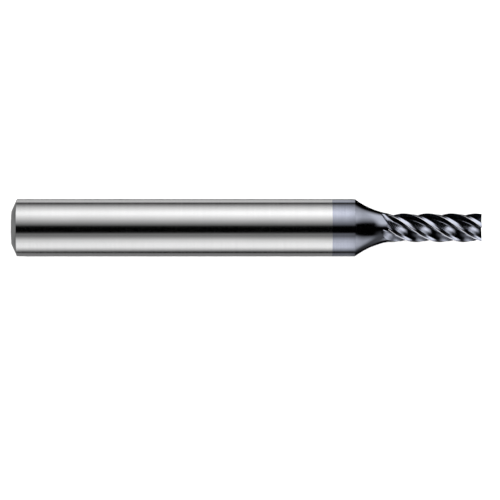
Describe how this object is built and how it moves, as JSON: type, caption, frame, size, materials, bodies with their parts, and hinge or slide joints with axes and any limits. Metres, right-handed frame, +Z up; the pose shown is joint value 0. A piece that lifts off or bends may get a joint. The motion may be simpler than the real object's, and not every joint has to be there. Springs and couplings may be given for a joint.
{
  "type": "end mill",
  "caption": "Straight-shank solid-carbide end mill with a concave reduced neck, a coated head and right-hand helical flutes with a square cutting end.",
  "frame": {"origin": "centre of the shank's flat rear face, on the tool's axis", "axes": "+X along the tool's axis from the rear face to the cutting end, +Z up and square to the axis, +Y completing a right-handed frame"},
  "size_m": [0.0492, 0.006, 0.006],
  "materials": {
    "bare_carbide": "fine cylindrical grinding, near-mirror",
    "coated_carbide": "dark blue-grey hard coating over ground carbide"
  },
  "bodies": {
    "root": {"shank": "bare_carbide", "coated_shank_band": "coated_carbide", "neck": "coated_carbide", "flute_core": "coated_carbide", "tooth_1": "coated_carbide", "tooth_2": "coated_carbide", "tooth_3": "coated_carbide", "tooth_4": "coated_carbide", "tooth_5": "coated_carbide"}
  },
  "joints": []
}
